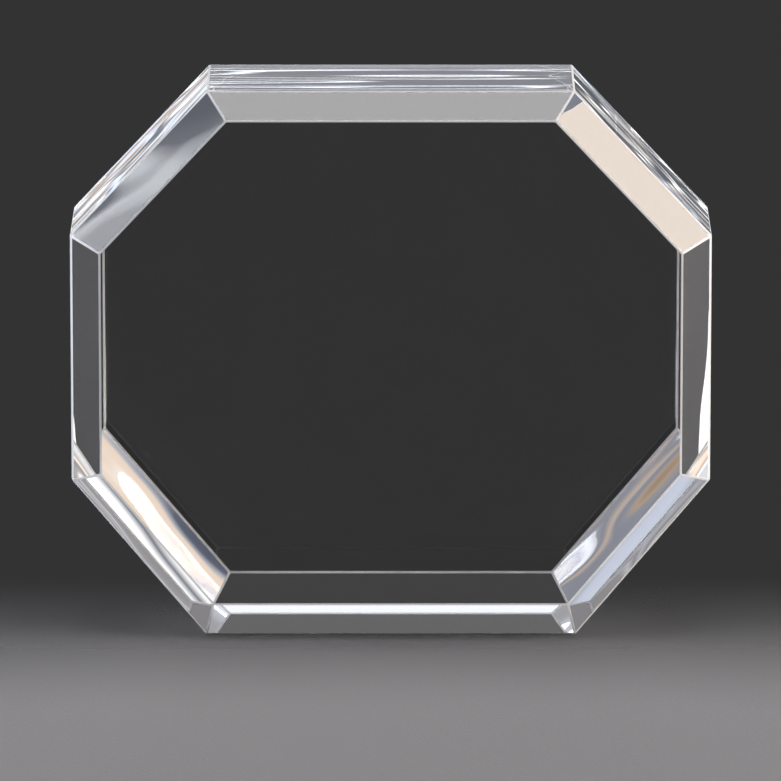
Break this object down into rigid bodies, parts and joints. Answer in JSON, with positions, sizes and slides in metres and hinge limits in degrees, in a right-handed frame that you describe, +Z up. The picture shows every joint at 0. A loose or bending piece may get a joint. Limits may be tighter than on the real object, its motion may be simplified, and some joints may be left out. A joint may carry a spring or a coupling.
{
  "type": "photo crystal",
  "caption": "Octagonal clear glass block with bevelled front and back, which stands on its lower edge face and takes a picture on its coated back.",
  "frame": {"origin": "middle of the lower edge face, under the centre of the block's box, on the surface it stands on", "axes": "+X along the width, to the viewer's right, +Y from the viewing face to the coated back face, +Z up"},
  "size_m": [0.1, 0.0286, 0.0871],
  "materials": {
    "optical_glass": "cut and polished",
    "clear_coating": "gloss"
  },
  "bodies": {
    "root": {"crystal_block": "optical_glass", "image_coating": "clear_coating"}
  },
  "joints": []
}
